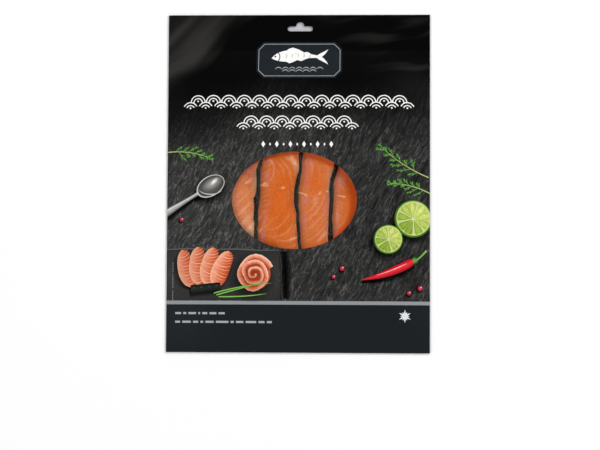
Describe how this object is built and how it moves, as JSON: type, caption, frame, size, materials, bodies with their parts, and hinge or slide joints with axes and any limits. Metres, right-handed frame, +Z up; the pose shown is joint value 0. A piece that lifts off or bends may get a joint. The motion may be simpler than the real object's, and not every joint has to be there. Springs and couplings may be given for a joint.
{
  "type": "smoked salmon pack",
  "caption": "Flat printed card wallet with a hang slot and an oval window, holding shingled smoked salmon slices with nori edges under clear film.",
  "frame": {"origin": "under the middle of the pack's outline, on the plane that its back lies on", "axes": "+Z up out of the printed front, +Y along the pack towards the hang slot, +X to the right as the front is read"},
  "size_m": [0.19, 0.245, 0.009],
  "materials": {
    "printed_card": "solid bleached board, printed with a dark slate ground under a satin varnish",
    "smoked_salmon": null,
    "nori": "pressed and dried seaweed sheet, black-green, moist",
    "clear_film": "thin clear vacuum film, glossy, lightly wrinkled"
  },
  "bodies": {
    "root": {"wallet_front": "printed_card", "wallet_back": "printed_card", "slice_1": "smoked_salmon", "slice_2": "smoked_salmon", "slice_3": "smoked_salmon", "slice_4": "smoked_salmon", "nori_1": "nori", "nori_2": "nori", "nori_3": "nori", "film": "clear_film"}
  },
  "joints": []
}
